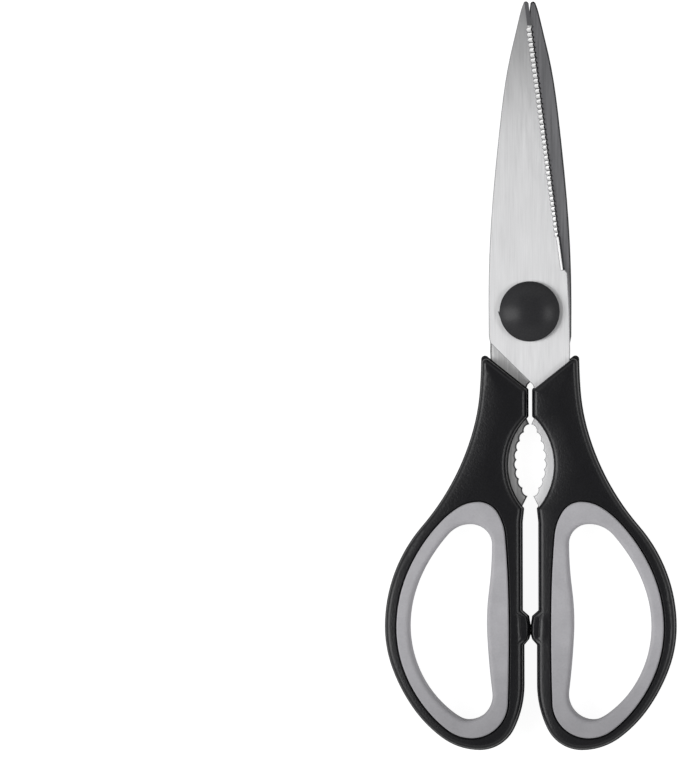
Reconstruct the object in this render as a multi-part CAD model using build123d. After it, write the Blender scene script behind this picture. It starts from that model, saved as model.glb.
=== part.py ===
from build123d import *
import math
import os

# Kitchen shears, closed and lying flat on their handles.
# X runs across the handles, Y from the finger loops to the tips, Z up off the table.
# The origin is under the middle of the whole length, level with the handles' undersides.
# The upper half is the front blade with the right handle. The lower half, the rear blade
# with the left handle, is the same half turned over about the Y axis, so each sub-part is
# drawn once, for the upper half, with Z counted from the plane where the blades meet.
# A share is a part of the size that the comment over it names.

# Overall sizes, in millimetres
blade_reach = 91.1
handle_reach = 128.9
overall_width = 85.8
handle_thickness = 12.0

# Blade
blade_width = 24.2
blade_thickness = 2.5
tip_thickness = 1.5
blade_gap = 0.04
edge_land = 0.12
bevel_width_at_tip = 1.5
bevel_width_at_heel = 1.05
hollow_depth = 0.12
hollow_width = 13.0
hollow_margin = 1.2

# Micro-serration of the front blade
serration_pitch = 1.52
serration_depth = 0.35
plain_heel_length = 9.6

# Tang, jaw and teeth
tang_cover = 1.2
tang_hole_radius = 2.0
tang_corner_radius = 1.2
tooth_count = 9
tooth_depth = 0.65
jaw_rim = 2.5
jaw_setback_top = 2.3
jaw_setback_bottom = 3.6

# Pivot
neck_radius = 3.5
neck_flats = 6.0
shank_radius = 3.0
thread_radius = 2.5
running_clearance = 0.05
thread_clearance = 0.03
head_radius = 6.0
head_height = 1.4
head_edge_height = 0.7
washer_radius = 6.0
washer_thickness = 0.4
washer_clearance = 0.1
spring_radius = 5.2
spring_thickness = 0.3
spring_rise = 0.3
nut_flats = 8.0
nut_height = 2.2
nut_chamfer = 0.4
bolt_stub = 0.3
cap_radius = 8.85
cap_rim_height = 1.4
cap_wall = 1.1
cap_edge_radius = 0.5
cap_headroom = 0.1
cap_lift = 0.15
cap_collar_wall = 0.9
cap_fit = 0.05
nib_reach = 0.45
nib_height = 1.0
nib_sweep = 20.0

# Handle outline
shoulder_drop = 11.75
shoulder_cover = 2.3
shoulder_slope = 38.5
shoulder_radius = 1.12
inner_corner_radius = 0.8
neck_gap = 1.06
bar_gap = 4.6
lower_bar_gap = 3.7
recess_depth = 6.02
recess_corner_radius = 0.6
bumper_gap = 0.04
bumper_swell = 0.42

# Handle section
lip_width = 0.45
lip_thickness = 1.6
lip_chamfer = 0.25
rim_radius = 1.3

# Loop and liner
loop_height = 69.3
loop_rim = 3.7
loop_bar = 3.95
liner_top = 6.5
liner_bottom = 5.2
liner_outer_side = 3.6
liner_inner_side = 4.9
liner_round = 1.2
seam_chamfer = 0.3
tongue_depth = 1.5
tongue_thickness = 3.0

# How far every cut runs past the solid that it cuts
overrun = 5.0

# Places worked out from the sizes
half_width = overall_width / 2
half_blade = blade_width / 2
half_thickness = handle_thickness / 2
tip_y = (blade_reach + handle_reach) / 2
pivot_y = tip_y - blade_reach
bottom_y = pivot_y - handle_reach
shoulder_y = pivot_y - shoulder_drop
handle_length = shoulder_y - bottom_y
neck_x = half_blade + shoulder_cover
inner_corner_y = shoulder_y - (neck_x - neck_gap / 2) * math.tan(math.radians(shoulder_slope))
inner_face = blade_gap / 2
outer_face = inner_face + blade_thickness

# Blade outline, as shares of half the blade's width and of its reach from the pivot
spine_shares = [(-1.0, 0.02), (-0.945, 0.269), (-0.737, 0.578), (-0.487, 0.811), (-0.282, 0.928),
                (-0.145, 0.9934)]
spine_end_slope_share = 0.42
nose_shares = [(-0.07, 1.0), (-0.02, 0.9918), (0.037, 0.9276)]
edge_shares = [(0.091, 0.9188), (0.846, 0.134)]
ricasso_shares = [(0.909, 0.124), (0.959, 0.0)]

# Neck and tang below the pivot, as shares of half the blade's width
neck_side_share = 0.971
free_corner_shares = (-0.965, -0.76)
spine_foot_shares = (-0.995, -0.6)
diagonal_foot_shares = (0.07, 0.105)
tang_side_share = 0.87
tang_end_share = 0.62
tang_hole_shares = [(0.52, 0.895), (0.58, 0.635)]

# A turn is a point of a smooth outline with the outline's heading there in degrees.
# The outer side's turns are shares of the spread from neck to loop and of the handle's length.
outer_side_turns = [((0.0804, 0.808), -75), ((1.0, 0.3103), -90), ((0.718, 0.1083), -124.5)]
lowest_point_share = 0.349

# Heights on the handle's inner edge, as shares of its length
lower_bar_share = 0.1656
bumper_shares = [0.2641, 0.2782, 0.2902, 0.3141, 0.3368, 0.3508]
bar_top_share = 0.572
recess_shares = [0.607, 0.7145, 0.8365]

# Turns of the loop opening and of the finger hole, as shares of the width and height of their boxes
loop_turns = [((0.269, 1.0), 0), ((0.595, 0.919), -46), ((1.0, 0.467), -90), ((0.718, 0.113), -130),
              ((0.331, 0.0), 180), ((0.0, 0.4434), 90), ((0.0334, 0.8584), 85)]
hole_turns = [((0.256, 1.0), 0), ((0.753, 0.8255), -58), ((1.0, 0.479), -90), ((0.463, 0.0288), -144),
              ((0.2957, 0.0), 180), ((0.058, 0.4295), 87), ((0.0, 0.897), 90)]

# The cutting edge runs from its tip end to its heel, and edge_out points out of the blade
heel_y = pivot_y + edge_shares[1][1] * blade_reach
grind_length = tip_y - heel_y
edge_tip = Vector(edge_shares[0][0] * half_blade, pivot_y + edge_shares[0][1] * blade_reach)
edge_heel = Vector(edge_shares[1][0] * half_blade, heel_y)
edge_length = (edge_heel - edge_tip).length
edge_run = (edge_heel - edge_tip).normalized()
edge_out = Vector(-edge_run.Y, edge_run.X)

# Heights of the pivot's stack over the front blade
washer_z = outer_face
spring_z = washer_z + washer_thickness
nut_z = spring_z + spring_thickness + spring_rise
bolt_end_z = nut_z + nut_height + bolt_stub
cap_z = outer_face + cap_lift
nut_top_z = nut_z + nut_height
cap_ceiling_z = bolt_end_z + cap_headroom
cap_top_z = cap_ceiling_z + cap_wall

# Boxes of the loop opening in the handle and of the finger hole in the liner
loop_low = (bar_gap / 2 + loop_bar, bottom_y + loop_rim)
loop_high = (half_width - loop_rim, loop_low[1] + loop_height)
hole_low = (loop_low[0] + liner_inner_side, loop_low[1] + liner_bottom)
hole_high = (loop_high[0] - liner_outer_side, loop_high[1] - liner_top)


def blade_point(share):
    return (share[0] * half_blade, pivot_y + share[1] * blade_reach)


def neck_point(share):
    return (share[0] * half_blade, pivot_y + share[1] * half_blade)


def handle_y(share):
    return bottom_y + share * handle_length


def outer_side_point(share):
    return (neck_x + share[0] * (half_width - neck_x), handle_y(share[1]))


def box_point(share, low, high):
    return (low[0] + share[0] * (high[0] - low[0]), low[1] + share[1] * (high[1] - low[1]))


def corner(sketch, point):
    return sketch.vertices().sort_by_distance(point)[0]


# The plastic stands back from the jaw in an arc from the bar's end up to the neck
def recess_points():
    end = (lower_bar_gap / 2, handle_y(recess_shares[0]))
    middle = (neck_gap / 2 + recess_depth, handle_y(recess_shares[1]))
    start = (neck_gap / 2, handle_y(recess_shares[2]))
    return end, middle, start


# The tooth tips stand on a flatter arc, and each valley between two tips is a scallop
def jaw_arc():
    end, middle, start = recess_points()
    first = (neck_gap / 3, start[1] - jaw_setback_top)
    last = (lower_bar_gap / 4, end[1] + jaw_setback_bottom)
    return ThreePointArc(first, (middle[0] - jaw_rim, middle[1]), last)


def jaw_valleys(arc):
    spaces = tooth_count - 1
    half_pitch = arc.length / spaces / 2
    radius = (half_pitch ** 2 + tooth_depth ** 2) / (2 * tooth_depth)
    valleys = []
    for space in range(spaces):
        mouth = arc.position_at((space + 0.5) / spaces)
        centre = mouth + (arc.arc_center - mouth).normalized() * (radius - tooth_depth)
        valleys.append(Pos(centre.X, centre.Y) * Circle(radius))
    return valleys


def blade_face():
    spine = [blade_point(share) for share in spine_shares]
    nose = [blade_point(share) for share in nose_shares]
    edge = [blade_point(share) for share in edge_shares]
    ricasso = [blade_point(share) for share in ricasso_shares]
    neck_side = (neck_side_share * half_blade, shoulder_y)
    end, middle, start = recess_points()
    arc = jaw_arc()
    tang_side = (tang_side_share * half_blade, middle[1])
    tang_out = (tang_end_share * half_blade, end[1] - tang_cover)
    tang_in = (end[0] + tang_cover, end[1] - tang_cover)
    jaw_foot = (end[0] + tang_cover / 2, end[1] + tang_cover / 2)
    jaw_head = (start[0] + tang_cover / 2, start[1] - tang_cover / 2)
    inner_x = neck_gap / 2 + tang_cover
    diagonal_foot_y = inner_corner_y + diagonal_foot_shares[1] * half_blade
    diagonal_foot = (diagonal_foot_shares[0] * half_blade, diagonal_foot_y)
    face = make_face([
        Spline(*spine, tangents=[(0, 1), (spine_end_slope_share, 1)]),
        ThreePointArc(spine[-1], nose[0], nose[1]),
        Polyline(*nose[1:], *edge, *ricasso, neck_side, tang_side, tang_out, tang_in, jaw_foot,
                 arc @ 1),
        arc,
        Polyline(arc @ 0, jaw_head, (inner_x, start[1] + tang_cover),
                 (inner_x, inner_corner_y - tang_cover), diagonal_foot,
                 neck_point(free_corner_shares), neck_point(spine_foot_shares), spine[0]),
    ])
    face = fillet([corner(face, tang_out), corner(face, tang_in)], tang_corner_radius)
    hole = Circle(tang_hole_radius)
    holes = [Pos(share[0] * half_blade, handle_y(share[1])) * hole for share in tang_hole_shares]
    return face - jaw_valleys(arc) - holes


# A prism along X from a profile drawn in Y and Z, wide enough to pass both sides of the blade
def across(profile):
    return extrude(Plane.YZ * profile, blade_width, both=True)


# The outer face is ground away from the heel to the tip along one long arc that starts level
def grind_radius():
    drop = blade_thickness - tip_thickness
    return (grind_length ** 2 + drop ** 2) / (2 * drop)


def ground_away(past_heel):
    radius = grind_radius()
    return radius - math.sqrt(radius ** 2 - max(past_heel, 0) ** 2)


def distal_taper():
    reach = grind_length + overrun
    heel = (heel_y, outer_face)
    middle = (heel_y + reach / 2, outer_face - ground_away(reach / 2))
    end = (heel_y + reach, outer_face - ground_away(reach))
    above = outer_face + overrun
    outline = Polyline(end, (end[0], above), (heel_y, above), heel)
    return across(make_face([ThreePointArc(heel, middle, end), outline]))


# The inner face is ground hollow, so that the blades meet only along their edges and round the pivot
def hollow_grind():
    radius = ((hollow_width / 2) ** 2 + hollow_depth ** 2) / (2 * hollow_depth)
    centre = edge_heel - edge_out * (hollow_margin + hollow_width / 2)
    axis = Plane(origin=(centre.X, centre.Y, inner_face + hollow_depth - radius), z_dir=-edge_run)
    return axis * extrude(Circle(radius), blade_reach)


# Size of the bevel at a distance along the edge, counted from its tip end
def bevel_size(along):
    share = along / edge_length
    width = bevel_width_at_tip + share * (bevel_width_at_heel - bevel_width_at_tip)
    at = edge_tip + edge_run * along
    height = blade_thickness - edge_land - ground_away(at.Y - heel_y)
    return at, width, height


# Everything outside the bevel, cut as one ruled solid that passes the nose and stops at the heel
def bevel_cut():
    profiles = []
    for along in (-(tip_y - edge_tip.Y) - overrun, edge_length):
        at, width, height = bevel_size(along)
        plane = Plane(origin=(at.X, at.Y, inner_face + edge_land), x_dir=edge_out, z_dir=edge_run)
        profile = Polyline((0, 0), (overrun, 0), (overrun, 2 * height), (-2 * width, 2 * height), (0, 0))
        profiles.append(plane * make_face(profile))
    return loft(profiles, ruled=True)


# Half-round flutes ground square to the edge, side by side, each following the bevel's slope
def serrations():
    radius = ((serration_pitch / 2) ** 2 + serration_depth ** 2) / (2 * serration_depth)
    count = int((edge_length - plain_heel_length) / serration_pitch)
    flutes = []
    for index in range(count):
        at, width, height = bevel_size((index + 0.5) * serration_pitch)
        slope = math.hypot(width, height)
        out_of_bevel = (edge_out * height + Vector(0, 0, width)) / slope
        up_bevel = (Vector(0, 0, height) - edge_out * width) / slope
        foot = Vector(at.X, at.Y, inner_face)
        centre = foot + out_of_bevel * (radius - serration_depth) - up_bevel * overrun
        flutes.append(Plane(origin=centre, z_dir=up_bevel) * extrude(Circle(radius), slope + 2 * overrun))
    return flutes


# Flats for the blade that carries the bolt, a round running hole for the blade that turns on it
def keyed_outline():
    return Circle(neck_radius) & Rectangle(neck_flats, 2 * neck_radius)


def pivot_hole(keyed):
    outline = keyed_outline() if keyed else Circle(shank_radius + running_clearance)
    return Pos(0, pivot_y, inner_face - overrun) * extrude(outline, blade_thickness + 2 * overrun)


def blade(serrated, keyed):
    blank = Pos(0, 0, inner_face) * extrude(blade_face(), blade_thickness)
    blank = blank - distal_taper() - hollow_grind() - bevel_cut()
    if serrated:
        blank = blank - serrations()
    return blank - pivot_hole(keyed)


# Two arcs run from a point to the next, and meet where both have turned by the same reach
def two_arcs(start, end, leave, arrive):
    chord = end - start
    square = chord.dot(chord)
    along = chord.dot(leave + arrive)
    reach = square / (along + math.sqrt(along ** 2 + 2 * (1 - leave.dot(arrive)) * square))
    meeting = (start + end + (leave - arrive) * reach) / 2
    way = chord - (leave + arrive) * reach
    return [TangentArc(start, meeting, tangent=leave), TangentArc(meeting, end, tangent=way.normalized())]


# The smooth outline through the turns, drawn in by inset on the right of its run
def arc_chain(turns, inset):
    ways = [Vector(1, 0).rotate(Axis.Z, heading) for point, heading in turns]
    places = [Vector(*turn[0]) + Vector(way.Y, -way.X) * inset for turn, way in zip(turns, ways)]
    chain = []
    for pair in zip(places, places[1:], ways, ways[1:]):
        chain += two_arcs(*pair)
    return chain


# The shoulder drops as it moves in, so that the diagonal below it keeps the same inset
def shoulder_drop_at(inset):
    slope = math.radians(shoulder_slope)
    return inset / math.cos(slope) + inset * math.tan(slope)


# The long outer side, from the shoulder round the loop and up to the lower bar
def outer_side(inset):
    start = ((neck_x, shoulder_y - shoulder_drop_at(inset)), -90)
    side = [(outer_side_point(share), heading) for share, heading in outer_side_turns]
    lowest = ((lowest_point_share * half_width, bottom_y), 180)
    end = ((lower_bar_gap / 2, handle_y(lower_bar_share)), 90)
    return arc_chain([start, *side, lowest, end], inset)


# The handle's outline, or the same outline drawn in from it by inset
def handle_face(inset=0):
    side = outer_side(inset)
    shift = Vector(inset, 0)
    end, middle, start = [Vector(*point) + shift for point in recess_points()]
    shoulder = side[0] @ 0
    inner_x = neck_gap / 2 + inset
    drop = (shoulder.X - inner_x) * math.tan(math.radians(shoulder_slope))
    inner_corner = Vector(inner_x, shoulder.Y - drop)
    block = bumper_gap / 2
    bumper_x = [lower_bar_gap / 2, block + bumper_swell, block, block, block + bumper_swell, bar_gap / 2]
    bumper = [Vector(x, handle_y(share)) + shift for x, share in zip(bumper_x, bumper_shares)]
    bar_top = Vector(bar_gap / 2, handle_y(bar_top_share)) + shift
    face = make_face([
        Line(inner_corner, shoulder),
        *side,
        Polyline(side[-1] @ 1, *bumper, bar_top, end),
        ThreePointArc(end, middle, start),
        Line(start, inner_corner),
    ])
    face = fillet(corner(face, shoulder), shoulder_radius)
    face = fillet(corner(face, inner_corner), inner_corner_radius)
    return fillet([corner(face, start), corner(face, end)], recess_corner_radius)


def ring_face(turns, low, high, inset):
    ring = [(box_point(share, low, high), heading) for share, heading in turns]
    return make_face(arc_chain(ring + ring[:1], inset))


def loop_face(inset=0):
    return ring_face(loop_turns, loop_low, loop_high, inset)


def hole_face():
    return ring_face(hole_turns, hole_low, hole_high, 0)


def centred(face, thickness):
    return extrude(face, thickness / 2, both=True)


# The rib of the handle that keys into the liner all round the loop
def tongue():
    return centred(loop_face() - loop_face(tongue_depth), tongue_thickness)


# Edges of the flat upper and under sides, round the outside or round the opening
def outer_rims(solid):
    faces = solid.faces().sort_by(Axis.Z)
    return faces[0].outer_wire().edges() + faces[-1].outer_wire().edges()


def opening_rims(solid):
    faces = solid.faces().sort_by(Axis.Z)
    return faces[0].inner_wires()[0].edges() + faces[-1].inner_wires()[0].edges()


# The grip stands inside the outline by the lip's width, and its rims are rounded.
# The lip runs round it at mid-thickness, where the two halves of the mould meet.
def handle_blank():
    face = handle_face()
    grip = centred(handle_face(lip_width), handle_thickness)
    levels = grip.edges().group_by(Axis.Z)
    grip = fillet(levels[0] + levels[-1], rim_radius)
    lip = centred(face, lip_thickness)
    levels = lip.edges().group_by(Axis.Z)
    return grip + chamfer(levels[0] + levels[-1], lip_chamfer)


# The plastic is moulded round the tang, so the blade itself is the cut
def handle(blade_inside):
    body = handle_blank() - centred(loop_face(), handle_thickness + 2 * overrun)
    body = body.chamfer(seam_chamfer, None, opening_rims(body))
    return body + tongue() - blade_inside


def liner():
    ring = centred(loop_face(), handle_thickness)
    ring = ring.chamfer(seam_chamfer, None, outer_rims(ring))
    ring = ring - centred(hole_face(), handle_thickness + 2 * overrun)
    return ring.fillet(liner_round, opening_rims(ring)) - tongue()


# A ring about the pivot from a radius-height profile
def turned(*points):
    return Pos(0, pivot_y, 0) * revolve(Plane.XZ * make_face(Polyline(*points, points[0])), Axis.Z)


def pivot_disc(outline, bottom, top):
    return Pos(0, pivot_y, bottom) * extrude(outline, top - bottom)


# A disc about the pivot with an upright rim up to the shoulder and a domed top
def dome(radius, bottom, shoulder, top):
    rise = top - shoulder
    sphere = (radius ** 2 + rise ** 2) / (2 * rise)
    middle = radius / 2
    half_way = (middle, top - sphere + math.sqrt(sphere ** 2 - middle ** 2))
    section = make_face([
        Polyline((0, top), (0, bottom), (radius, bottom), (radius, shoulder)),
        ThreePointArc((radius, shoulder), half_way, (0, top)),
    ])
    return Pos(0, pivot_y, 0) * revolve(Plane.XZ * section, Axis.Z)


# Domed head under the rear blade, flats inside it, then the shank and the threaded end
def pivot_bolt():
    shoulder = outer_face + head_edge_height
    head = Rot(0, 180, 0) * dome(head_radius, outer_face, shoulder, outer_face + head_height)
    neck = pivot_disc(keyed_outline(), -outer_face, -inner_face)
    shank = pivot_disc(Circle(shank_radius), -inner_face, outer_face)
    thread = pivot_disc(Circle(thread_radius), outer_face, bolt_end_z)
    return head + neck + shank + thread


def pivot_washer():
    return pivot_disc(Circle(washer_radius) - Circle(thread_radius + washer_clearance), washer_z, spring_z)


# A conical disc: its outer edge stands on the washer and its inner edge bears on the nut
def pivot_spring_washer():
    bore = thread_radius + washer_clearance
    rise = spring_z + spring_rise
    return turned((bore, rise), (spring_radius, spring_z), (spring_radius, spring_z + spring_thickness),
                  (bore, rise + spring_thickness))


def pivot_nut():
    hexagon = RegularPolygon(nut_flats / 2, 6, major_radius=False)
    nut = pivot_disc(hexagon - Circle(thread_radius + thread_clearance), nut_z, nut_top_z)
    wide = nut_flats / math.sqrt(3) + nut_chamfer
    narrow = wide - 2 * nut_chamfer
    edge_z = nut_top_z - nut_chamfer
    return nut & turned((0, nut_z), (wide, nut_z), (wide, edge_z), (narrow, nut_top_z), (0, nut_top_z))


# The cap is a thin dome with a hexagonal collar that grips the nut, and a nib to prise it off by
def pivot_cap():
    inner_radius = cap_radius - cap_wall
    shoulder = cap_z + cap_rim_height
    outside = dome(cap_radius, cap_z, shoulder, cap_top_z)
    rims = outside.edges().filter_by(lambda edge: edge.is_closed).sort_by(Axis.Z)
    outside = fillet(rims[-1], cap_edge_radius)
    shell = outside - dome(inner_radius, cap_z, shoulder, cap_ceiling_z)
    collar = pivot_disc(Circle(nut_flats / math.sqrt(3) + cap_collar_wall), nut_z, cap_top_z) & outside
    hexagon = RegularPolygon(nut_flats / 2 + cap_fit, 6, major_radius=False)
    socket = pivot_disc(hexagon, cap_z, nut_top_z + cap_headroom)
    pocket = pivot_disc(Circle(thread_radius + cap_fit), cap_z, cap_ceiling_z)
    return shell + collar + nib(inner_radius) - socket - pocket


# The nib is square above and runs back into the cap's rim below
def nib(inner_radius):
    sweep = math.radians(nib_sweep)
    outer_foot = (-cap_radius * math.cos(sweep), -cap_radius * math.sin(sweep))
    inner_foot = (-inner_radius * math.cos(sweep), -inner_radius * math.sin(sweep))
    inner_top = (-inner_radius, 0)
    wedge = make_face(Polyline(inner_top, (-cap_radius - nib_reach, 0), outer_foot, inner_foot, inner_top))
    return pivot_disc(wedge - Circle(inner_radius), cap_z, cap_z + nib_height)


# Each half is drawn about the plane where the blades meet, then lifted to stand on the handles
def upper(solid):
    return Pos(0, 0, half_thickness) * solid


def lower(solid):
    return Pos(0, 0, half_thickness) * Rot(0, 180, 0) * solid


front_blade = blade(serrated=True, keyed=False)
rear_blade = blade(serrated=False, keyed=True)
grip_liner = liner()

parts = {
    "front_blade": upper(front_blade),
    "rear_blade": lower(rear_blade),
    "right_handle": upper(handle(front_blade)),
    "left_handle": lower(handle(rear_blade)),
    "right_grip_liner": upper(grip_liner),
    "left_grip_liner": lower(grip_liner),
    "pivot_bolt": upper(pivot_bolt()),
    "pivot_washer": upper(pivot_washer()),
    "pivot_spring_washer": upper(pivot_spring_washer()),
    "pivot_nut": upper(pivot_nut()),
    "pivot_cap": upper(pivot_cap()),
}

os.makedirs("parts", exist_ok=True)
for name, solid in parts.items():
    export_step(solid, f"parts/{name}.step")
    print(name, len(solid.solids()), round(solid.volume, 1))
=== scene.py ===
import math
import bmesh
import bpy
from mathutils import Matrix, Vector
from mathutils.geometry import delaunay_2d_cdt, intersect_point_line


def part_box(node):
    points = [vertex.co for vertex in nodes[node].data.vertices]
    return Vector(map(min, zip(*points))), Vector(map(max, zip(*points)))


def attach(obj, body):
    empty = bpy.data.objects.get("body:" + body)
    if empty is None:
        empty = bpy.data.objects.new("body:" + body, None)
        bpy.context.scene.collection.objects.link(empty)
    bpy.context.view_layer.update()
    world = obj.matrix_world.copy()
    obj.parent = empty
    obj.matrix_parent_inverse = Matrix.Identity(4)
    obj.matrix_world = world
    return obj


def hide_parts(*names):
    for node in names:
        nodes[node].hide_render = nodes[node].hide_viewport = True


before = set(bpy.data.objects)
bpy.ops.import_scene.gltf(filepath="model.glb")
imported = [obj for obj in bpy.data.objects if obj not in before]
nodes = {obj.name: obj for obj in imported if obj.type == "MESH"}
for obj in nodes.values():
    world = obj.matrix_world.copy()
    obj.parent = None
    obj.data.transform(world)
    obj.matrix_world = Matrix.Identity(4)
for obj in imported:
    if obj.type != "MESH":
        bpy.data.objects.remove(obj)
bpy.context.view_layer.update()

black = (0, 0, 0, 1)
white = (1, 1, 1, 1)
print("frame loaded:", len(nodes), "pieces")


# sRGB hex to the linear colour that Blender's sockets take
def linearFromHex(hexText):
    channels = [int(hexText[i:i + 2], 16) / 255 for i in (0, 2, 4)]
    linear = [c / 12.92 if c <= 0.04045 else ((c + 0.055) / 1.055) ** 2.4 for c in channels]
    return (*linear, 1.0)


# one node with its settings; an input is a plain value, an output socket or a node to link from
def addNode(tree, kind, settings=None, inputs=None):
    node = tree.nodes.new(kind)
    for name, value in (settings or {}).items():
        setattr(node, name, value)
    for name, value in (inputs or {}).items():
        if isinstance(value, bpy.types.Node):
            value = value.outputs[0]
        if isinstance(value, bpy.types.NodeSocket):
            tree.links.new(value, node.inputs[name])
        else:
            node.inputs[name].default_value = value
    return node


def startMaterial(name):
    material = bpy.data.materials.new(name)
    material.use_nodes = True
    material.node_tree.nodes.clear()
    return material, material.node_tree


def linkObject(name, data):
    made = bpy.data.objects.new(name, data)
    bpy.context.scene.collection.objects.link(made)
    return made


# a placed thing whose local Z looks away from the aim, as lamps and cameras want it
def lookFrom(made, place, aim, upHint):
    place = Vector(place)
    back = (place - Vector(aim)).normalized()
    right = Vector(upHint).cross(back).normalized()
    turn = Matrix((right, back.cross(right), back)).transposed()
    made.matrix_world = Matrix.Translation(place) @ turn.to_4x4()


# it hangs over the table and looks down past the shears' left side, which sets them to the right
cameraSettings = {
    "place": (0.10478, 0.0, 2.5),
    "aim": (-0.05619, -0.00068, 0.006),
    "rollDegrees": 0.109,
    "lens": 403.73, "sensor": 36,
    "clip": (0.05, 60),
}

cameraData = bpy.data.cameras.new("productCamera")
cameraData.lens = cameraSettings["lens"]
cameraData.sensor_width = cameraSettings["sensor"]
cameraData.clip_start, cameraData.clip_end = cameraSettings["clip"]
camera = linkObject("productCamera", cameraData)
roll = math.radians(cameraSettings["rollDegrees"])
cameraUp = (math.sin(roll), math.cos(roll), 0)
lookFrom(camera, cameraSettings["place"], cameraSettings["aim"], cameraUp)
bpy.context.scene.camera = camera
bpy.context.scene.view_settings.view_transform = "Standard"
print("camera set")

# two soft boxes, and a strip that lines the grips' left rims
lampSettings = {
    # place, size across and along the shears, watts
    "leftSoftBox": ((-1.12, -0.14, 1.12), (1.0, 0.75), 11.6),
    "leftStrip": ((-1.45, -0.14, 0.62), (0.2, 0.75), 1.9),
    "rightSoftBox": ((1.15, -0.14, 1.12), (0.5, 0.75), 4.8),
}

for name, (place, size, watts) in lampSettings.items():
    lampData = bpy.data.lights.new(name, "AREA")
    lampData.shape = "RECTANGLE"
    lampData.size, lampData.size_y = size
    lampData.energy = watts
    lookFrom(linkObject(name, lampData), place, (0, place[1], 0), (0, 1, 0))

# the room is seen and mirrored as white, and lights the shears with less
roomSettings = {"ambient": 0.42}

room = bpy.data.worlds.new("whiteRoom")
bpy.context.scene.world = room
room.use_nodes = True
tree = room.node_tree
tree.nodes.clear()
rays = addNode(tree, "ShaderNodeLightPath")
seen = addNode(tree, "ShaderNodeMath", {"operation": "MAXIMUM"},
               {0: rays.outputs["Is Camera Ray"], 1: rays.outputs["Is Glossy Ray"]})
seen = addNode(tree, "ShaderNodeMath", {"operation": "MAXIMUM"},
               {0: seen, 1: rays.outputs["Is Transmission Ray"]})
strength = addNode(tree, "ShaderNodeMapRange", {},
                   {"Value": seen, "To Min": roomSettings["ambient"], "To Max": 1.0})
sky = addNode(tree, "ShaderNodeBackground", {}, {"Color": white, "Strength": strength})
addNode(tree, "ShaderNodeOutputWorld", {}, {"Surface": sky})


# four corners, in metres, make one sheet of the studio
def stageSheet(name, corners, material):
    mesh = bpy.data.meshes.new(name)
    mesh.from_pydata(corners, [], [(0, 1, 2, 3)])
    mesh.materials.append(material)
    sheet = linkObject(name, mesh)
    return sheet


def levelCorners(width, depth, height):
    return [(x * width / 2, y * depth / 2, height)
            for x, y in ((-1, -1), (1, -1), (1, 1), (-1, 1))]


# a silk sheet overhead is what the level steel mirrors
silkSettings = {"height": 2.9, "width": 3.4, "depth": 4.4, "glow": 0.235}

silk, tree = startMaterial("grey silk, glowing evenly")
glow = addNode(tree, "ShaderNodeEmission", {}, {"Color": white, "Strength": silkSettings["glow"]})
addNode(tree, "ShaderNodeOutputMaterial", {}, {"Surface": glow})
stageSheet("overheadSilk", levelCorners(silkSettings["width"], silkSettings["depth"],
                                        silkSettings["height"]), silk)

# black flags round the table, unseen by the camera, draw the dark lines along every rim
flagSettings = {
    # where it stands, its half length and its height
    "behind": ((0, 1.7), 2.6, 0.56),
    "left": ((-2.1, -0.4), 2.1, 0.42),
    "right": ((2.1, -0.4), 2.1, 0.42),
    "front": ((0, -2.5), 2.1, 0.45),
}

felt, tree = startMaterial("black felt")
nap = addNode(tree, "ShaderNodeBsdfDiffuse", {}, {"Color": linearFromHex("1a1a1a")})
addNode(tree, "ShaderNodeOutputMaterial", {}, {"Surface": nap})
for name, ((x, y), half, height) in flagSettings.items():
    wide = (half, 0) if x == 0 else (0, half)
    flag = stageSheet(name + "Flag", [
        (x + end * wide[0], y + end * wide[1], z)
        for end, z in ((-1, 0), (1, 0), (1, height), (-1, height))], felt)
    flag.visible_camera = False

# the paper's own glow is only seen and mirrored, so the shears still leave a soft shadow on it
floorSettings = {"reach": 9.0, "colour": "8c8c8c", "seenGlow": 0.93, "mirroredGlow": 0.55}

paper, tree = startMaterial("white paper, matte")
rays = addNode(tree, "ShaderNodeLightPath")
mirrored = addNode(tree, "ShaderNodeMath", {"operation": "MAXIMUM"},
                   {0: rays.outputs["Is Glossy Ray"], 1: rays.outputs["Is Transmission Ray"]})
mirrored = addNode(tree, "ShaderNodeMath", {"operation": "MULTIPLY"},
                   {0: mirrored, 1: floorSettings["mirroredGlow"]})
seen = addNode(tree, "ShaderNodeMath", {"operation": "MULTIPLY_ADD"},
               {0: rays.outputs["Is Camera Ray"], 1: floorSettings["seenGlow"], 2: mirrored})
lit = addNode(tree, "ShaderNodeBsdfDiffuse", {},
              {"Color": linearFromHex(floorSettings["colour"])})
glow = addNode(tree, "ShaderNodeEmission", {}, {"Color": white, "Strength": seen})
both = addNode(tree, "ShaderNodeAddShader", {}, {0: lit, 1: glow})
addNode(tree, "ShaderNodeOutputMaterial", {}, {"Surface": both})
stageSheet("paperFloor", levelCorners(2 * floorSettings["reach"], 2 * floorSettings["reach"], 0),
           paper)
print("studio set")


# object coordinates are the part's own metres, so a pattern's scale is one over its size in mm
def patternScale(across, along, deep):
    return (1000 / across, 1000 / along, 1000 / deep)


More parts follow.
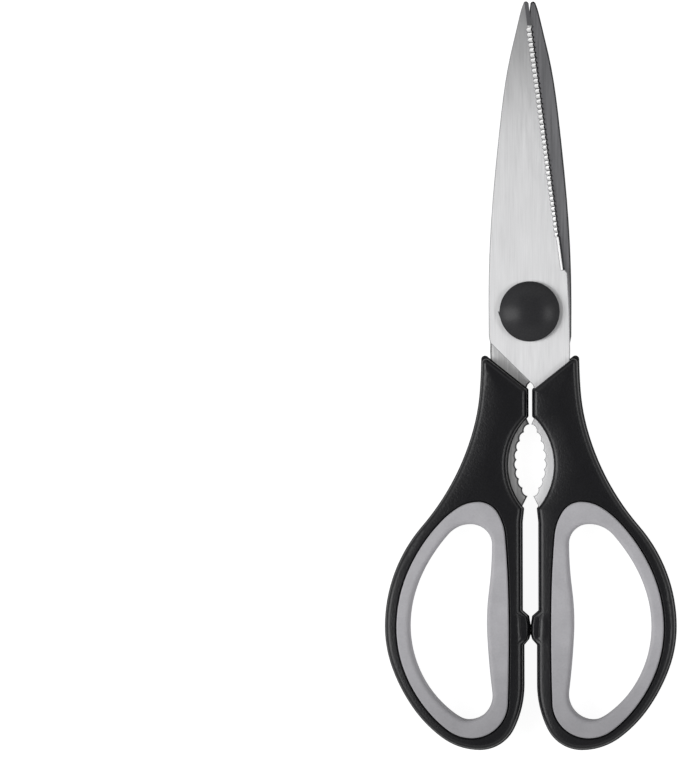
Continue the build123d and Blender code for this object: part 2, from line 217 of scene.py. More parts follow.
# Stainless blade steel, ground flat and brushed along the blade on a belt. The brushing draws
# fine pale and dark lines and spreads reflections across the blade, so the outer face is bright
# and even. The inner face is hollow-ground by a finer wheel, and its colour is painted darker as
# painted shade. Its neck and jaw keep the belt's brushing, and their colour is painted lighter as
# painted light. The ground bevel's flutes are painted white, a painted highlight.
bladeSteel = {
    # the inner pair is painted shade and the neck pair painted light; the outer pair is the
    # brushed steel
    "outer": ("cbcbcc", "d8d8d9"), "inner": ("8c8c8f", "aaaaad"), "neck": ("c4c4c4", "fafafa"),
    "outerRoughness": (0.36, 0.41), "innerRoughness": (0.27, 0.33), "neckRoughness": 0.16,
    "lines": (0.34, 11, 0.34),       # mm; a belt's lines are 0.05 mm wide, too fine to show
    "lineDetail": (4.0, 0.62),       # the noise's detail and roughness
    "bands": (2.6, 60, 2.6),         # mm
    "bandShare": 0.35, "streakSpan": (0.4, 0.95), "roughSpan": (0.3, 0.7),
    "innerSide": -1,                 # the inner face looks down on the front blade
    "innerFacing": (0.3, 0.6),
    "neckReach": (14, 30),           # mm along the blade where the hollow grinding begins
    "tipReach": (71, 108), "tipPaintedShade": 0.52,   # painted shade: the outer face darkens towards the tip
    "jawReach": (-16, -8), "jawShade": 0.75,   # painted shade: the jaw's flat is darker
    # painted shade beside the black plastic: its reach in metres, occlusion span and depth
    "shadeReach": 0.004, "shadeSpan": (0.35, 0.85), "shadeDepth": 0.78,
    "anisotropic": 0.78, "grooveDepth": 0.0000015,
    # painted shade: a thin dark line along the corners
    "cornerRadius": 0.0005, "cornerShadeColour": "8c8c8e", "cornerWidth": (0.999, 0.95),
    "flutes": {
        "sideways": (0.25, 0.4), "upward": (0.1, 0.25),    # how the ground bevel faces
        # painted highlight: the flutes are coloured white
        "colour": "ffffff", "slope": 0.12,
        # painted shade: the flutes' foot is coloured dark
        "foot": (7.22, 7.42), "footShadeColour": "3c3c3e",      # mm above the table
        "footDrop": 0.0062, "footStart": 0.04,             # it falls with the blade's taper
        "heelEnd": (41.2, 41.7), "heelFoot": 0.47,         # mm along the blade; mm wider
        "tipEnd": (102.6, 103.0), "tipColour": "6c6c6e",   # mm along the blade
        # painted shade: the ridges between flutes are coloured dark
        "ridgeRadius": 0.00038, "ridgeTurn": (0.03, 0.17), "ridgeShadeColour": "101012",
    },
}


# the ground bevel of a serrated edge: flutes painted white, a painted highlight, above a foot
# painted dark, with ridges between painted dark, both painted shade
def flutedBevel(tree, look, colour, place, facing, worldNormal):
    sideways = addNode(tree, "ShaderNodeMapRange", {}, {
        "Value": facing.outputs["X"],
        "From Min": look["sideways"][0], "From Max": look["sideways"][1]})
    upward = addNode(tree, "ShaderNodeMapRange", {}, {
        "Value": facing.outputs["Z"],
        "From Min": look["upward"][0], "From Max": look["upward"][1]})
    bevel = addNode(tree, "ShaderNodeMath", {"operation": "MULTIPLY"}, {0: sideways, 1: upward})
    colour = addNode(tree, "ShaderNodeMix", {"data_type": "RGBA"}, {
        0: bevel, 6: colour, 7: linearFromHex(look["footShadeColour"])}).outputs[2]

    # the painted-shade foot follows the blade's taper down towards the tip, and is wider past the
    # last flute
    lift = addNode(tree, "ShaderNodeMath", {"operation": "MULTIPLY_ADD"}, {
        0: place.outputs["Y"], 1: look["footDrop"], 2: -look["footStart"] * look["footDrop"]})
    lift = addNode(tree, "ShaderNodeMath", {"operation": "ADD"},
                   {0: lift, 1: place.outputs["Z"]})
    heel = addNode(tree, "ShaderNodeMapRange", {}, {
        "Value": place.outputs["Y"],
        "From Min": look["heelEnd"][0] / 1000, "From Max": look["heelEnd"][1] / 1000})
    lift = addNode(tree, "ShaderNodeMath", {"operation": "MULTIPLY_ADD"},
                   {0: heel, 1: look["heelFoot"] / 1000, 2: lift})
    above = addNode(tree, "ShaderNodeMapRange", {}, {
        "Value": lift, "From Min": look["foot"][0] / 1000, "From Max": look["foot"][1] / 1000})

    # no flutes are ground in the last of the tip
    plain = addNode(tree, "ShaderNodeMapRange", {}, {
        "Value": place.outputs["Y"],
        "From Min": look["tipEnd"][0] / 1000, "From Max": look["tipEnd"][1] / 1000})
    plainBevel = addNode(tree, "ShaderNodeMath", {"operation": "MULTIPLY"}, {0: bevel, 1: plain})
    colour = addNode(tree, "ShaderNodeMix", {"data_type": "RGBA"}, {
        0: plainBevel, 6: colour, 7: linearFromHex(look["tipColour"])}).outputs[2]
    fluted = addNode(tree, "ShaderNodeMath", {"operation": "SUBTRACT"}, {0: bevel, 1: plainBevel})
    fluted = addNode(tree, "ShaderNodeMath", {"operation": "MULTIPLY"}, {0: fluted, 1: above})
    colour = addNode(tree, "ShaderNodeMix", {"data_type": "RGBA"}, {
        0: fluted, 6: colour, 7: linearFromHex(look["colour"])}).outputs[2]

    # a ridge is where the surface turns along the edge; it is painted dark there, a painted shade
    ridge = addNode(tree, "ShaderNodeBevel", {"samples": 12}, {"Radius": look["ridgeRadius"]})
    ridge = addNode(tree, "ShaderNodeVectorMath", {"operation": "SUBTRACT"},
                    {0: ridge, 1: worldNormal})
    ridge = addNode(tree, "ShaderNodeVectorTransform",
                    {"vector_type": "VECTOR", "convert_from": "WORLD", "convert_to": "OBJECT"},
                    {"Vector": ridge})
    ridge = addNode(tree, "ShaderNodeSeparateXYZ", {}, {0: ridge})
    ridge = addNode(tree, "ShaderNodeMath", {"operation": "ABSOLUTE"}, {0: ridge.outputs["Y"]})
    ridge = addNode(tree, "ShaderNodeMapRange", {}, {
        "Value": ridge, "From Min": look["ridgeTurn"][0], "From Max": look["ridgeTurn"][1]})
    ridge = addNode(tree, "ShaderNodeMath", {"operation": "MULTIPLY"}, {0: ridge, 1: bevel})
    ridge = addNode(tree, "ShaderNodeMath", {"operation": "MULTIPLY"}, {0: ridge, 1: heel})
    colour = addNode(tree, "ShaderNodeMix", {"data_type": "RGBA"}, {
        0: ridge, 6: colour, 7: linearFromHex(look["ridgeShadeColour"])}).outputs[2]

    # the wheel's scoops lie flatter than the plain bevel they are cut in
    slope = addNode(tree, "ShaderNodeMapRange", {},
                    {"Value": fluted, "To Min": 1.0, "To Max": look["slope"]})
    across = addNode(tree, "ShaderNodeMath", {"operation": "MULTIPLY"},
                     {0: facing.outputs["X"], 1: slope})
    along = addNode(tree, "ShaderNodeMath", {"operation": "MULTIPLY"},
                    {0: facing.outputs["Y"], 1: slope})
    flatter = addNode(tree, "ShaderNodeCombineXYZ", {},
                      {"X": across, "Y": along, "Z": facing.outputs["Z"]})
    flatter = addNode(tree, "ShaderNodeVectorTransform",
                      {"vector_type": "NORMAL", "convert_from": "OBJECT", "convert_to": "WORLD"},
                      {"Vector": flatter})
    return colour, flatter


def brushedSteel(name, look):
    material, tree = startMaterial(name)
    grainSpace = addNode(tree, "ShaderNodeTexCoord").outputs["Object"]
    fine = addNode(tree, "ShaderNodeMapping", {},
                   {"Vector": grainSpace, "Scale": patternScale(*look["lines"])})
    lines = addNode(tree, "ShaderNodeTexNoise", {}, {
        "Vector": fine, "Scale": 1.0,
        "Detail": look["lineDetail"][0], "Roughness": look["lineDetail"][1]})
    broad = addNode(tree, "ShaderNodeMapping", {},
                    {"Vector": grainSpace, "Scale": patternScale(*look["bands"])})
    bands = addNode(tree, "ShaderNodeTexNoise", {}, {"Vector": broad, "Scale": 1.0, "Detail": 2.0})
    streaks = addNode(tree, "ShaderNodeMath", {"operation": "MULTIPLY_ADD"},
                      {0: bands, 1: look["bandShare"], 2: lines})
    streaks = addNode(tree, "ShaderNodeMapRange", {}, {
        "Value": streaks,
        "From Min": look["streakSpan"][0], "From Max": look["streakSpan"][1]})
    worldNormal = addNode(tree, "ShaderNodeNewGeometry").outputs["Normal"]
    facing = addNode(tree, "ShaderNodeVectorTransform",
                     {"vector_type": "NORMAL", "convert_from": "WORLD", "convert_to": "OBJECT"},
                     {"Vector": worldNormal})
    facing = addNode(tree, "ShaderNodeSeparateXYZ", {}, {0: facing})
    place = addNode(tree, "ShaderNodeSeparateXYZ", {}, {0: grainSpace})

    inward = addNode(tree, "ShaderNodeMath", {"operation": "MULTIPLY"},
                     {0: facing.outputs["Z"], 1: look["innerSide"]})
    inner = addNode(tree, "ShaderNodeMapRange", {}, {
        "Value": inward,
        "From Min": look["innerFacing"][0], "From Max": look["innerFacing"][1]})
    neck = addNode(tree, "ShaderNodeMapRange", {}, {
        "Value": place.outputs["Y"],
        "From Min": look["neckReach"][1] / 1000, "From Max": look["neckReach"][0] / 1000})
    # painted shade: the outer colour is mixed towards black near the tip
    tip = addNode(tree, "ShaderNodeMapRange", {}, {
        "Value": place.outputs["Y"],
        "From Min": look["tipReach"][0] / 1000, "From Max": look["tipReach"][1] / 1000})
    tip = addNode(tree, "ShaderNodeMath", {"operation": "MULTIPLY"}, {0: tip, 1: look["tipPaintedShade"]})
    sides = {}
    for side in ("outer", "inner", "neck"):
        dark, light = (linearFromHex(colour) for colour in look[side])
        sides[side] = addNode(tree, "ShaderNodeMix", {"data_type": "RGBA"},
                              {0: streaks, 6: dark, 7: light}).outputs[2]
    outer = addNode(tree, "ShaderNodeMix", {"data_type": "RGBA"},
                    {0: tip, 6: sides["outer"], 7: black}).outputs[2]

    # painted shade and painted reflection: the neck's painted-light colour is darkened near the
    # black plastic that stands beside it, and further on the jaw's flat
    freedom = addNode(tree, "ShaderNodeAmbientOcclusion", {"samples": 8},
                      {"Distance": look["shadeReach"]})
    jaw = addNode(tree, "ShaderNodeMapRange", {}, {
        "Value": place.outputs["Y"],
        "From Min": look["jawReach"][0] / 1000, "From Max": look["jawReach"][1] / 1000,
        "To Min": look["jawShade"], "To Max": 1.0})
    clear = addNode(tree, "ShaderNodeMapRange", {}, {
        "Value": freedom.outputs["AO"],
        "From Min": look["shadeSpan"][0], "From Max": look["shadeSpan"][1],
        "To Min": look["shadeDepth"], "To Max": 1.0})
    clear = addNode(tree, "ShaderNodeMath", {"operation": "MULTIPLY"}, {0: clear, 1: jaw})
    neckPaintedLightAndShade = addNode(tree, "ShaderNodeMix", {"data_type": "RGBA"},
                     {0: clear, 6: black, 7: sides["neck"]}).outputs[2]
    hollow = addNode(tree, "ShaderNodeMix", {"data_type": "RGBA"},
                     {0: neck, 6: sides["inner"], 7: neckPaintedLightAndShade}).outputs[2]
    colour = addNode(tree, "ShaderNodeMix", {"data_type": "RGBA"},
                     {0: inner, 6: outer, 7: hollow}).outputs[2]

    # painted shade: the corners are coloured as a thin dark line between the brushed sides
    corner = addNode(tree, "ShaderNodeBevel", {"samples": 12}, {"Radius": look["cornerRadius"]})
    alike = addNode(tree, "ShaderNodeVectorMath", {"operation": "DOT_PRODUCT"},
                    {0: corner, 1: worldNormal})
    turning = addNode(tree, "ShaderNodeMapRange", {}, {
        "Value": alike.outputs["Value"],
        "From Min": look["cornerWidth"][0], "From Max": look["cornerWidth"][1]})
    colour = addNode(tree, "ShaderNodeMix", {"data_type": "RGBA"}, {
        0: turning, 6: colour, 7: linearFromHex(look["cornerShadeColour"])}).outputs[2]

    normal = worldNormal
    if look["flutes"]:
        colour, normal = flutedBevel(tree, look["flutes"], colour, place, facing, worldNormal)

    outerRough = addNode(tree, "ShaderNodeMapRange", {}, {
        "Value": lines, "From Min": look["roughSpan"][0], "From Max": look["roughSpan"][1],
        "To Min": look["outerRoughness"][0], "To Max": look["outerRoughness"][1]})
    innerRough = addNode(tree, "ShaderNodeMapRange", {}, {
        "Value": lines, "From Min": look["roughSpan"][0], "From Max": look["roughSpan"][1],
        "To Min": look["innerRoughness"][0], "To Max": look["innerRoughness"][1]})
    innerRough = addNode(tree, "ShaderNodeMath", {"operation": "MULTIPLY_ADD"},
                         {0: neck, 1: look["neckRoughness"], 2: innerRough})
    rough = addNode(tree, "ShaderNodeMix", {"data_type": "FLOAT"},
                    {0: inner, 2: outerRough, 3: innerRough})
    across = addNode(tree, "ShaderNodeVectorTransform",
                     {"vector_type": "VECTOR", "convert_from": "OBJECT", "convert_to": "WORLD"},
                     {"Vector": (1, 0, 0)})
    bump = addNode(tree, "ShaderNodeBump", {}, {
        "Height": lines, "Distance": look["grooveDepth"], "Strength": 1.0, "Normal": normal})
    steel = addNode(tree, "ShaderNodeBsdfPrincipled", {}, {
        "Base Color": colour, "Metallic": 1.0, "Roughness": rough,
        "Anisotropic": look["anisotropic"], "Tangent": across, "Normal": bump})
    addNode(tree, "ShaderNodeOutputMaterial", {}, {"Surface": steel})
    return material


# The lower blade is the same steel turned over, with a plain edge and a wider dark line of
# painted shade on its spine, and its hollow-ground face shows the wheel's coarser lines
lowerSteel = dict(
    bladeSteel, innerSide=1, anisotropic=0.45, lines=(0.5, 20, 0.5), grooveDepth=0.000001,
    cornerRadius=0.0009, cornerShadeColour="3c3c3e", cornerWidth=(0.999, 0.97), flutes=None)


# Polypropylene, moulded in a spark-eroded mould. It is a deep black with a fine grain that breaks
# highlights into specks, and handling has polished its edges a little.
gripPlastic = {
    "dark": "0f0f12", "light": "17171a",
    "grain": (0.55, 0.55, 0.55),     # mm; the spark grain is nearer 0.1 mm, too fine to show
    "grainDetail": (3.0, 0.6), "speckSpan": (0.35, 0.7), "grainDepth": 0.00006,
    "patches": (14, 14, 14), "patchSpan": (0.3, 0.7),
    "roughness": (0.28, 0.34), "ior": 1.49, "shine": 0.34,
    "edgeRadius": 0.00018, "edgeWidth": (0.995, 0.9), "edgeColour": "161617",
}


def mouldedPlastic(name, look):
    material, tree = startMaterial(name)
    grainSpace = addNode(tree, "ShaderNodeTexCoord").outputs["Object"]
    fine = addNode(tree, "ShaderNodeMapping", {},
                   {"Vector": grainSpace, "Scale": patternScale(*look["grain"])})
    grain = addNode(tree, "ShaderNodeTexNoise", {}, {
        "Vector": fine, "Scale": 1.0,
        "Detail": look["grainDetail"][0], "Roughness": look["grainDetail"][1]})
    broad = addNode(tree, "ShaderNodeMapping", {},
                    {"Vector": grainSpace, "Scale": patternScale(*look["patches"])})
    patches = addNode(tree, "ShaderNodeTexNoise", {},
                      {"Vector": broad, "Scale": 1.0, "Detail": 2.0})
    specks = addNode(tree, "ShaderNodeMapRange", {}, {
        "Value": grain, "From Min": look["speckSpan"][0], "From Max": look["speckSpan"][1]})
    colour = addNode(tree, "ShaderNodeMix", {"data_type": "RGBA"}, {
        0: specks, 6: linearFromHex(look["dark"]), 7: linearFromHex(look["light"])}).outputs[2]
    softened = addNode(tree, "ShaderNodeBevel", {"samples": 6}, {"Radius": look["edgeRadius"]})
    worldNormal = addNode(tree, "ShaderNodeNewGeometry").outputs["Normal"]
    alike = addNode(tree, "ShaderNodeVectorMath", {"operation": "DOT_PRODUCT"},
                    {0: softened, 1: worldNormal})
    edge = addNode(tree, "ShaderNodeMapRange", {}, {
        "Value": alike.outputs["Value"],
        "From Min": look["edgeWidth"][0], "From Max": look["edgeWidth"][1]})
    colour = addNode(tree, "ShaderNodeMix", {"data_type": "RGBA"}, {
        0: edge, 6: colour, 7: linearFromHex(look["edgeColour"])}).outputs[2]
    bump = addNode(tree, "ShaderNodeBump", {}, {
        "Height": grain, "Distance": look["grainDepth"], "Strength": 1.0, "Normal": softened})
    rough = addNode(tree, "ShaderNodeMapRange", {}, {
        "Value": patches, "From Min": look["patchSpan"][0], "From Max": look["patchSpan"][1],
        "To Min": look["roughness"][0], "To Max": look["roughness"][1]})
    plastic = addNode(tree, "ShaderNodeBsdfPrincipled", {}, {
        "Base Color": colour, "IOR": look["ior"], "Specular IOR Level": look["shine"],
        "Roughness": rough, "Normal": bump})
    addNode(tree, "ShaderNodeOutputMaterial", {}, {"Surface": plastic})
    return material


# Nylon, moulded in a lightly polished mould: black, a little greyer and smoother than the grips
capPlastic = dict(
    gripPlastic, dark="2d2d2f", light="353537", grain=(0.5, 0.5, 0.5), roughness=(0.27, 0.31),
    grainDepth=0.000003, edgeColour="28282a", shine=0.16)


# Thermoplastic elastomer moulded into the grip: a soft grey rubber, matte and slightly mottled,
# with a faint bloom that lightens it at grazing angles
linerRubber = {
    "dark": "afaeb2", "light": "bfbec2",
    "mottle": (7, 7, 7), "mottleDetail": (5.0, 0.62),
    "grain": (0.6, 0.6, 0.6),        # mm; the skin's grain is about 0.1 mm, too fine to show
    "grainShare": 0.5, "cloudSpan": (0.5, 1.0), "grainDepth": 0.000010,
    "roughness": (0.56, 0.66), "roughSpan": (0.3, 0.7), "ior": 1.5,
    "bloom": (0.08, 0.4),            # the sheen's weight and roughness
    "edgeRadius": 0.0003,
    "rimPaintedLight": "c2c1c5", "rimPaintedLightTilt": (0.97, 0.6),    # painted light: the rounded rim is coloured lighter
    "footReach": (-104, -74), "footShade": 0.74,  # mm; painted shade: the loops' ends are a little darker
}


def softRubber(name, look):
    material, tree = startMaterial(name)
    grainSpace = addNode(tree, "ShaderNodeTexCoord").outputs["Object"]
    broad = addNode(tree, "ShaderNodeMapping", {},
                    {"Vector": grainSpace, "Scale": patternScale(*look["mottle"])})
    mottle = addNode(tree, "ShaderNodeTexNoise", {}, {
        "Vector": broad, "Scale": 1.0,
        "Detail": look["mottleDetail"][0], "Roughness": look["mottleDetail"][1]})
    fine = addNode(tree, "ShaderNodeMapping", {},
                   {"Vector": grainSpace, "Scale": patternScale(*look["grain"])})
    grain = addNode(tree, "ShaderNodeTexNoise", {}, {"Vector": fine, "Scale": 1.0, "Detail": 2.0})
    clouds = addNode(tree, "ShaderNodeMath", {"operation": "MULTIPLY_ADD"},
                     {0: grain, 1: look["grainShare"], 2: mottle})
    clouds = addNode(tree, "ShaderNodeMapRange", {}, {
        "Value": clouds, "From Min": look["cloudSpan"][0], "From Max": look["cloudSpan"][1]})
    colour = addNode(tree, "ShaderNodeMix", {"data_type": "RGBA"}, {
        0: clouds, 6: linearFromHex(look["dark"]), 7: linearFromHex(look["light"])}).outputs[2]
    along = addNode(tree, "ShaderNodeSeparateXYZ", {}, {0: grainSpace}).outputs["Y"]
    # painted shade: darker towards the loops' ends
    loopEndShade = addNode(tree, "ShaderNodeMapRange", {}, {
        "Value": along,
        "From Min": look["footReach"][0] / 1000, "From Max": look["footReach"][1] / 1000,
        "To Min": look["footShade"], "To Max": 1.0})
    worldNormal = addNode(tree, "ShaderNodeNewGeometry").outputs["Normal"]
    facing = addNode(tree, "ShaderNodeVectorTransform",
                     {"vector_type": "NORMAL", "convert_from": "WORLD", "convert_to": "OBJECT"},
                     {"Vector": worldNormal})
    facing = addNode(tree, "ShaderNodeSeparateXYZ", {}, {0: facing})
    tilt = addNode(tree, "ShaderNodeMath", {"operation": "ABSOLUTE"}, {0: facing.outputs["Z"]})
    # painted light: the rounded rim is coloured lighter
    rim = addNode(tree, "ShaderNodeMapRange", {}, {
        "Value": tilt, "From Min": look["rimPaintedLightTilt"][0], "From Max": look["rimPaintedLightTilt"][1]})
    colour = addNode(tree, "ShaderNodeMix", {"data_type": "RGBA"}, {
        0: rim, 6: colour, 7: linearFromHex(look["rimPaintedLight"])}).outputs[2]
    colour = addNode(tree, "ShaderNodeMix", {"data_type": "RGBA"},
                     {0: loopEndShade, 6: black, 7: colour}).outputs[2]
    softened = addNode(tree, "ShaderNodeBevel", {"samples": 6}, {"Radius": look["edgeRadius"]})
    bump = addNode(tree, "ShaderNodeBump", {}, {
        "Height": grain, "Distance": look["grainDepth"], "Strength": 1.0, "Normal": softened})
    rough = addNode(tree, "ShaderNodeMapRange", {}, {
        "Value": grain, "From Min": look["roughSpan"][0], "From Max": look["roughSpan"][1],
        "To Min": look["roughness"][0], "To Max": look["roughness"][1]})
    rubber = addNode(tree, "ShaderNodeBsdfPrincipled", {}, {
        "Base Color": colour, "IOR": look["ior"], "Roughness": rough,
        "Sheen Weight": look["bloom"][0], "Sheen Roughness": look["bloom"][1], "Normal": bump})
    addNode(tree, "ShaderNodeOutputMaterial", {}, {"Surface": rubber})
    return material


# Stainless bar turned on a lathe: rings about the pivot, bright, with a soft sheen across them
pivotSteel = {
    "dark": "a9a9aa", "light": "cfcfd0",
    "ring": 0.32, "wander": 0.6,     # mm; a finishing cut's rings are 0.1 mm apart, too fine
    "stain": (2.5, 2.5, 2.5), "stainDetail": (3.0, 0.6), "stainSpan": (0.3, 0.7),
    "roughness": (0.2, 0.32), "pivot": (0, 0.0189, 0), "grooveDepth": 0.000004,
}


def turnedSteel(name, look):
    material, tree = startMaterial(name)
    grainSpace = addNode(tree, "ShaderNodeTexCoord").outputs["Object"]
    fromPivot = addNode(tree, "ShaderNodeVectorMath", {"operation": "SUBTRACT"},
                        {0: grainSpace, 1: look["pivot"]})
    # a ring wave of scale 1 repeats every 2 pi / 20 metres
    rings = addNode(tree, "ShaderNodeTexWave", {"wave_type": "RINGS", "rings_direction": "Z"}, {
        "Vector": fromPivot, "Scale": 1000 / look["ring"] * math.tau / 20,
        "Distortion": look["wander"], "Detail": 2.0})
    broad = addNode(tree, "ShaderNodeMapping", {},
                    {"Vector": grainSpace, "Scale": patternScale(*look["stain"])})
    stains = addNode(tree, "ShaderNodeTexNoise", {}, {
        "Vector": broad, "Scale": 1.0,
        "Detail": look["stainDetail"][0], "Roughness": look["stainDetail"][1]})
    stains = addNode(tree, "ShaderNodeMapRange", {}, {
        "Value": stains, "From Min": look["stainSpan"][0], "From Max": look["stainSpan"][1]})
    colour = addNode(tree, "ShaderNodeMix", {"data_type": "RGBA"}, {
        0: stains, 6: linearFromHex(look["dark"]), 7: linearFromHex(look["light"])}).outputs[2]
    bump = addNode(tree, "ShaderNodeBump", {}, {
        "Height": rings.outputs["Fac"], "Distance": look["grooveDepth"], "Strength": 1.0})
    rough = addNode(tree, "ShaderNodeMapRange", {}, {
        "Value": rings.outputs["Fac"],
        "To Min": look["roughness"][0], "To Max": look["roughness"][1]})
    steel = addNode(tree, "ShaderNodeBsdfPrincipled", {}, {
        "Base Color": colour, "Metallic": 1.0, "Roughness": rough, "Normal": bump})
    addNode(tree, "ShaderNodeOutputMaterial", {}, {"Surface": steel})
    return material


turned = turnedSteel("stainless steel, turned", pivotSteel)
rubber = softRubber("thermoplastic elastomer, moulded", linerRubber)
plastic = mouldedPlastic("polypropylene, spark-grain moulded", gripPlastic)
finishes = {
    "front_blade": brushedSteel("stainless steel, brushed lengthwise", bladeSteel),
    "rear_blade": brushedSteel("stainless steel, finely ground", lowerSteel),
    "right_handle": plastic, "left_handle": plastic,
    "right_grip_liner": rubber, "left_grip_liner": rubber,
    "pivot_cap": mouldedPlastic("nylon, satin moulded", capPlastic),
    "pivot_bolt": turned, "pivot_nut": turned,
    "pivot_washer": turned, "pivot_spring_washer": turned,
}
for name, node in nodes.items():
    node.material_slots[0].link = "OBJECT"
    node.material_slots[0].material = finishes[name]
print("finishes on:", len(finishes))


# The moulding's level sides, crowned as the hand wants them, with a seam round each liner and
# bumpers that lie lower than the bars. Lengths are in mm.
gripSettings = {
    "bodies": {"right_handle": "upper_half", "left_handle": "lower_half"},
    "crownRise": 0.42,               # how far the side falls by its rim
    "crownWidth": 5.5,               # from the rim's upper edge to where the side is level
    "rimRadius": 1.3,
    "rimDepth": 1.36,                # from the level side down to the foot of the rim
    "spacing": 0.8,                  # between the points that the side is drawn with
    "clearance": 0.36,               # from those points to the side's edges
    "seamWidth": 0.28,               # how far the side draws back from each liner
    "seamDepth": 0.9,                # how much deeper the seam's chamfer is cut
    "seamChamfer": (0.2, 0.45, 0.5),  # the chamfer's foot: least and most depth, and its width
    "bumperReach": (-79.2, -68.9),   # along the shears
    "bumperEnds": (-79.1, -69.0),    # where the bumper leaves the bar
    "barEdge": (2.25, 2.7),          # from the middle to the bar's side, at both ends
    "barRows": (0.02, 0.1, 0.25, 0.5, 0.85, 1.3),    # points across the bar's rim
    "barClearance": (0.3, 0.15),     # from those rows to the other points and to the edges
    "bumperFall": 0.85,              # how much lower the bumper's pad lies
    "bumperRim": 0.2,                # how much of the round rim the pad keeps
    "sharpDegrees": 32,
}


def nearestOn(loop, x, y):
    spot = Vector((x, y))
    best = math.inf
    for start, end in zip(loop, loop[1:] + loop[:1]):
        foot, share = intersect_point_line(spot, start, end)
        foot = start if share < 0 else end if share > 1 else foot
        best = min(best, (spot - foot.xy).length)
    return best


def insideOf(loop, x, y):
    inside = False
    for start, end in zip(loop, loop[1:] + loop[:1]):
        if (start.y > y) != (end.y > y):
            crossing = start.x + (y - start.y) / (end.y - start.y) * (end.x - start.x)
            if x < crossing:
                inside = not inside
    return inside


# on the side itself, within the outline and outside the loops
def onSide(plans, x, y):
    return insideOf(plans[0], x, y) and not any(insideOf(plan, x, y) for plan in plans[1:])


# closed rings of boundary vertices, each in order
def ringsOf(edges):
    beside = {}
    for edge in edges:
        first, second = edge.verts
        beside.setdefault(first, []).append(second)
        beside.setdefault(second, []).append(first)
    rings = []
    while beside:
        start = next(iter(beside))
        ring, last, here = [start], None, start
        while True:
            onward = [v for v in beside[here] if v is not last]
            last, here = here, onward[0]
            if here is start:
                break
            ring.append(here)
        for vertex in ring:
            del beside[vertex]
        rings.append(ring)
    return rings


# how far a point lies from the bar's side, past which the bumper begins; None away from there
def besideBar(x, y, look):
    low, high = look["bumperReach"]
    if not low < y < high:
        return None
    start, end = look["bumperEnds"]
    share = min(max((y - start) / (end - start), 0), 1)
    return abs(x) - look["barEdge"][0] - share * (look["barEdge"][1] - look["barEdge"][0])


# how deep a point of the crowned side lies. The bar's round rim runs straight on past the bumper,
# whose flat pad lies lower.
def gripDepth(x, y, depth, crown, look):
    beside = besideBar(x, y, look)
    radius = look["rimRadius"]
    if beside is None or beside >= radius:
        return depth + crown
    pad = max(depth + crown, look["bumperFall"] + look["bumperRim"] * depth)
    if beside <= 0:
        return pad
    bar = radius - math.sqrt(radius ** 2 - (radius - beside) ** 2)
    return min(max(depth, bar) + crown, pad)


# a narrow deep groove round each liner: the chamfer is cut deeper and the side draws back
def cutSeams(mesh, rings, plans, level, side, look):
    least, most, width = look["seamChamfer"]
    for vertex in mesh.verts:
        depth = (level - vertex.co.z) * side * 1000
        x, y = vertex.co.x * 1000, vertex.co.y * 1000
        if least < depth < most and min(nearestOn(plan, x, y) for plan in plans) < width:
            vertex.co.z -= side * look["seamDepth"] / 1000
    for ring, plan in zip(rings, plans):
        turning = sum(a.cross(b) for a, b in zip(plan, plan[1:] + plan[:1]))
        ways = [(after - before).normalized() * math.copysign(look["seamWidth"], turning)
                for before, after in zip(plan[-1:] + plan[:-1], plan[1:] + plan[:1])]
        for vertex, spot, way in zip(ring, plan, ways):
            spot += Vector((way.y, -way.x))
            vertex.co.x, vertex.co.y = spot.x / 1000, spot.y / 1000


# points over the side, staggered row by row, with closer rows where the bar passes the bumper
def sidePoints(plans, look):
    outer, step = plans[0], look["spacing"]
    rise = step * 0.866              # the height of a triangle with three sides of one step
    lowX, lowY = (min(p[axis] for p in outer) for axis in (0, 1))
    highX, highY = (max(p[axis] for p in outer) for axis in (0, 1))
    apart, fromEdge = look["barClearance"]
    points = []
    for row in range(int((highY - lowY) / rise) + 1):
        for column in range(int((highX - lowX) / step) + 1):
            x, y = lowX + (column + 0.5 * (row % 2)) * step, lowY + row * rise
            beside = besideBar(x, y, look)
            if beside is not None and -apart < beside < look["rimRadius"] + apart:
                continue
            if onSide(plans, x, y):
                if min(nearestOn(plan, x, y) for plan in plans) > look["clearance"]:
                    points.append(Vector((x, y)))
    hand = math.copysign(1, outer[0].x)
    startY, endY = look["bumperReach"]
    for row in range(int((endY - startY) / step + 0.5)):
        y = startY + (row + 0.5) * step
        for beside in look["barRows"]:
            x = hand * (beside - besideBar(0, y, look))
            if insideOf(outer, x, y):
                if min(nearestOn(plan, x, y) for plan in plans) > fromEdge:
                    points.append(Vector((x, y)))
    return points


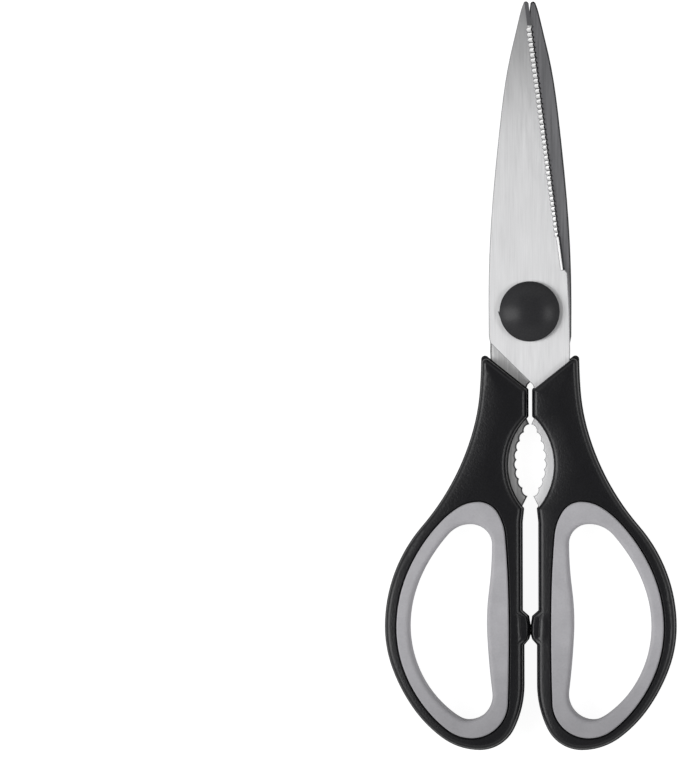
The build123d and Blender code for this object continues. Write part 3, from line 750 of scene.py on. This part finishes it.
def crownedSide(mesh, level, side, look):
    flat = [f for f in mesh.faces if all(abs(v.co.z - level) < 1e-6 for v in f.verts)]
    inFlat = set(flat)
    rimEdges = [e for f in flat for e in f.edges
                if sum(other in inFlat for other in e.link_faces) == 1]
    rings = sorted(ringsOf(rimEdges), key=lambda ring: -max(v.co.y for v in ring))
    material = flat[0].material_index
    bmesh.ops.delete(mesh, geom=flat, context="FACES_ONLY")
    loose = [e for e in mesh.edges if not e.link_faces]
    bmesh.ops.delete(mesh, geom=loose, context="EDGES")
    plans = [[Vector((v.co.x * 1000, v.co.y * 1000)) for v in ring] for ring in rings]
    cutSeams(mesh, rings[1:], plans[1:], level, side, look)

    # the side is filled again between its rings
    points = [point for plan in plans for point in plan]
    owners = [v for ring in rings for v in ring]
    edges, first = [], 0
    for plan in plans:
        edges += [(first + i, first + (i + 1) % len(plan)) for i in range(len(plan))]
        first += len(plan)
    for point in sidePoints(plans, look):
        points.append(point)
        owners.append(mesh.verts.new((point.x / 1000, point.y / 1000, level)))
    found, _, triangles, sources, _, _ = delaunay_2d_cdt(points, edges, [], 0, 1e-5)
    for triangle in triangles:
        centre = sum((found[i] for i in triangle), Vector((0, 0))) / 3
        if onSide(plans, centre.x, centre.y):
            corners = [owners[sources[i][0]] for i in triangle]
            face = mesh.faces.new(corners if side > 0 else corners[::-1])
            face.material_index = material

    # and it falls towards the rim, rim and all
    for vertex in mesh.verts:
        depth = (level - vertex.co.z) * side * 1000
        if depth > look["rimDepth"]:
            continue
        x, y = vertex.co.x * 1000, vertex.co.y * 1000
        inward = nearestOn(plans[0], x, y) * (1 if insideOf(plans[0], x, y) else -1)
        share = max(0, 1 - inward / look["crownWidth"])
        fall = gripDepth(x, y, depth, look["crownRise"] * share ** 2, look) - depth
        vertex.co.z -= side * fall / 1000


def crownedGrip(name, body, look):
    low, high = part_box(name)
    data = nodes[name].data.copy()
    data.name = name + "Crowned"
    if "custom_normal" in data.attributes:
        data.attributes.remove(data.attributes["custom_normal"])
    mesh = bmesh.new()
    mesh.from_mesh(data)
    bmesh.ops.remove_doubles(mesh, verts=mesh.verts, dist=1e-7)
    for level, side in ((high.z, 1), (low.z, -1)):
        crownedSide(mesh, level, side, look)
    bmesh.ops.recalc_face_normals(mesh, faces=mesh.faces)
    mesh.to_mesh(data)
    mesh.free()
    data.shade_smooth()
    data.set_sharp_from_angle(angle=math.radians(look["sharpDegrees"]))
    grip = linkObject(name + "_crowned", data)
    grip.material_slots[0].link = "OBJECT"
    grip.material_slots[0].material = finishes[name]
    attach(grip, body)
    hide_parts(name)
    print("grip crowned:", name, len(data.polygons), "faces")


for name, body in gripSettings["bodies"].items():
    crownedGrip(name, body, gripSettings)
